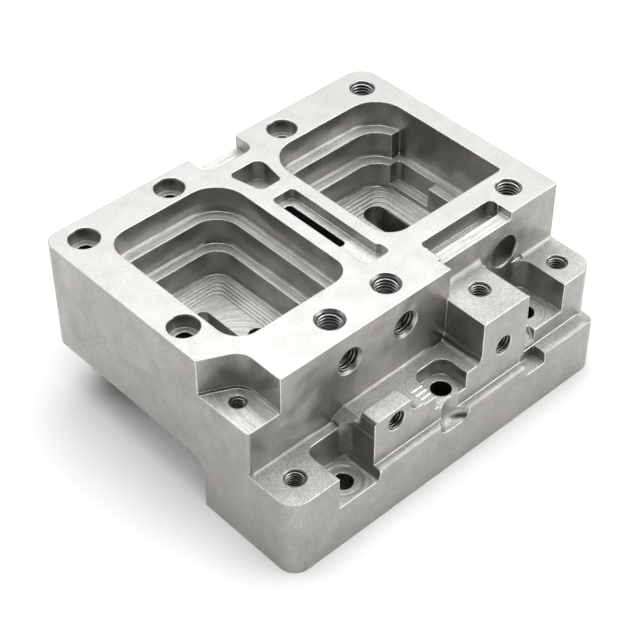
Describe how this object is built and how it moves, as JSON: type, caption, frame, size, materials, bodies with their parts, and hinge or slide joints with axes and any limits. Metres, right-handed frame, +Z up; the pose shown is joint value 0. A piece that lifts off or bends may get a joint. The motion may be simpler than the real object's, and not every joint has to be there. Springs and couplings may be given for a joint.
{
  "type": "machined housing",
  "caption": "Milled aluminium housing block with two stepped pockets, threaded ports and a terraced front edge for brackets and screws.",
  "frame": {"origin": "middle of the underside, on the plane that the feet stand on", "axes": "+X along the long front edge to the right, +Y from the terraced front to the back, +Z up"},
  "size_m": [0.167, 0.139, 0.075],
  "materials": {
    "housing": "bright milled, with fine tool marks"
  },
  "bodies": {
    "root": {"housing": "housing"}
  },
  "joints": []
}
